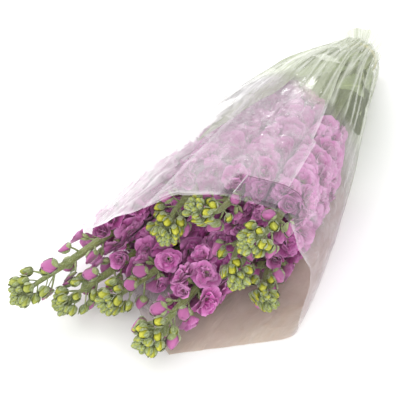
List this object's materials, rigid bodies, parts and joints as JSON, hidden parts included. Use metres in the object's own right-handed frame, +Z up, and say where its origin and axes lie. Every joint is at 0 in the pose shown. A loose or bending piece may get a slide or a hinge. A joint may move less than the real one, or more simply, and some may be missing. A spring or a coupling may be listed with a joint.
{
  "type": "bunch of cut stock stems in a film wrap",
  "caption": "Bunch of mauve double stock stems lying on its side in a clear film cone with an open mouth, tied near the cut ends.",
  "frame": {"origin": "middle of the footprint, on the surface that the bunch lies on", "axes": "+Y from the flower tips to the cut ends, +Z up, +X to the right as seen from the flower tips"},
  "size_m": [0.1986, 0.5023, 0.1127],
  "materials": {
    "film": "clear, creased",
    "tape": "clear, smooth",
    "rubber": "matt natural rubber",
    "stalk": "finely haired green stalk",
    "petal": "soft mauve petals",
    "bud": "haired green and yellow buds",
    "leaf": "velvety grey-green leaf"
  },
  "bodies": {
    "root": {"wrap_film": "film", "closing_tape": "tape", "rubber_band": "rubber", "stalk_01": "stalk", "stalk_02": "stalk", "stalk_03": "stalk", "stalk_04": "stalk", "stalk_05": "stalk", "stalk_06": "stalk", "stalk_07": "stalk", "stalk_08": "stalk", "stalk_09": "stalk", "stalk_10": "stalk", "flowers_01": "petal", "flowers_02": "petal", "flowers_03": "petal", "flowers_04": "petal", "flowers_05": "petal", "flowers_06": "petal", "flowers_07": "petal", "flowers_08": "petal", "flowers_09": "petal", "flowers_10": "petal", "buds_01": "bud", "buds_02": "bud", "buds_03": "bud", "buds_04": "bud", "buds_05": "bud", "buds_06": "bud", "buds_07": "bud", "buds_08": "bud", "buds_09": "bud", "buds_10": "bud", "leaf_01": "leaf", "leaf_02": "leaf", "leaf_03": "leaf", "leaf_04": "leaf", "leaf_05": "leaf", "leaf_06": "leaf", "leaf_07": "leaf", "leaf_08": "leaf", "leaf_09": "leaf", "leaf_10": "leaf", "leaf_11": "leaf", "leaf_12": "leaf", "leaf_13": "leaf", "leaf_14": "leaf"}
  },
  "joints": []
}
